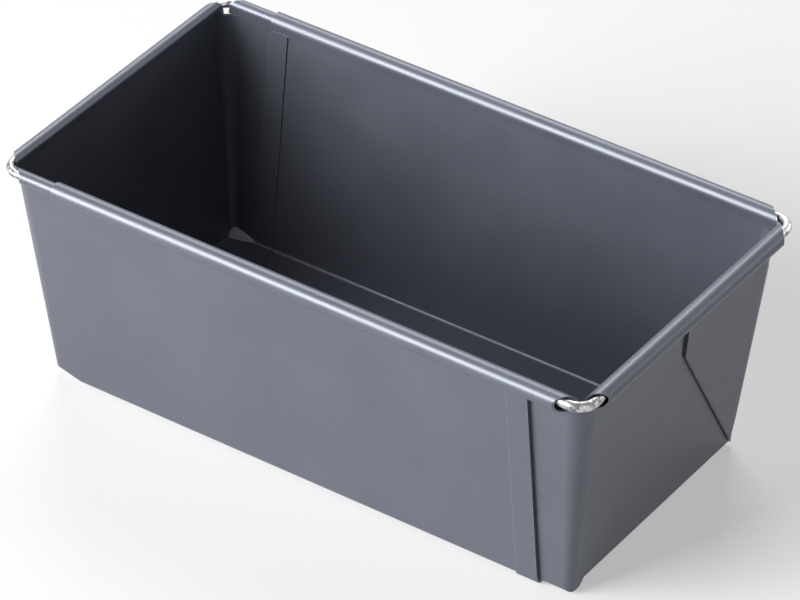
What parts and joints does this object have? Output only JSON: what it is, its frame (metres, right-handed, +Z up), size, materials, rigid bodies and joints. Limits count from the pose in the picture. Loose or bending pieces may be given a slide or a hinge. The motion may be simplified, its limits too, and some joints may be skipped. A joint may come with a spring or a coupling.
{
  "type": "extendable loaf pan",
  "caption": "Extendable loaf pan: folded sheet trays with rolled, wire-stiffened rims that slide one inside the other to change the pan's length.",
  "frame": {"origin": "middle of the closed pan's footprint, on the surface it stands on", "axes": "+X along the length towards the end that pulls out, +Y across the width, +Z up"},
  "size_m": [0.2066, 0.1146, 0.08],
  "materials": {
    "outer_coating": "satin blue-grey non-stick coating",
    "inner_coating": "satin blue-grey non-stick coating",
    "outer_wire": "bright drawn wire",
    "inner_wire": "bright drawn wire"
  },
  "bodies": {
    "outer_half": {"outer_tray": "outer_coating", "outer_rim_wire": "outer_wire"},
    "inner_half": {"inner_tray": "inner_coating", "inner_rim_wire": "inner_wire"}
  },
  "joints": [
    {"name": "length_slide", "type": "slide", "parent": "outer_half", "child": "inner_half", "axis": [1, 0, 0], "range_m": [0, 0.12]}
  ]
}
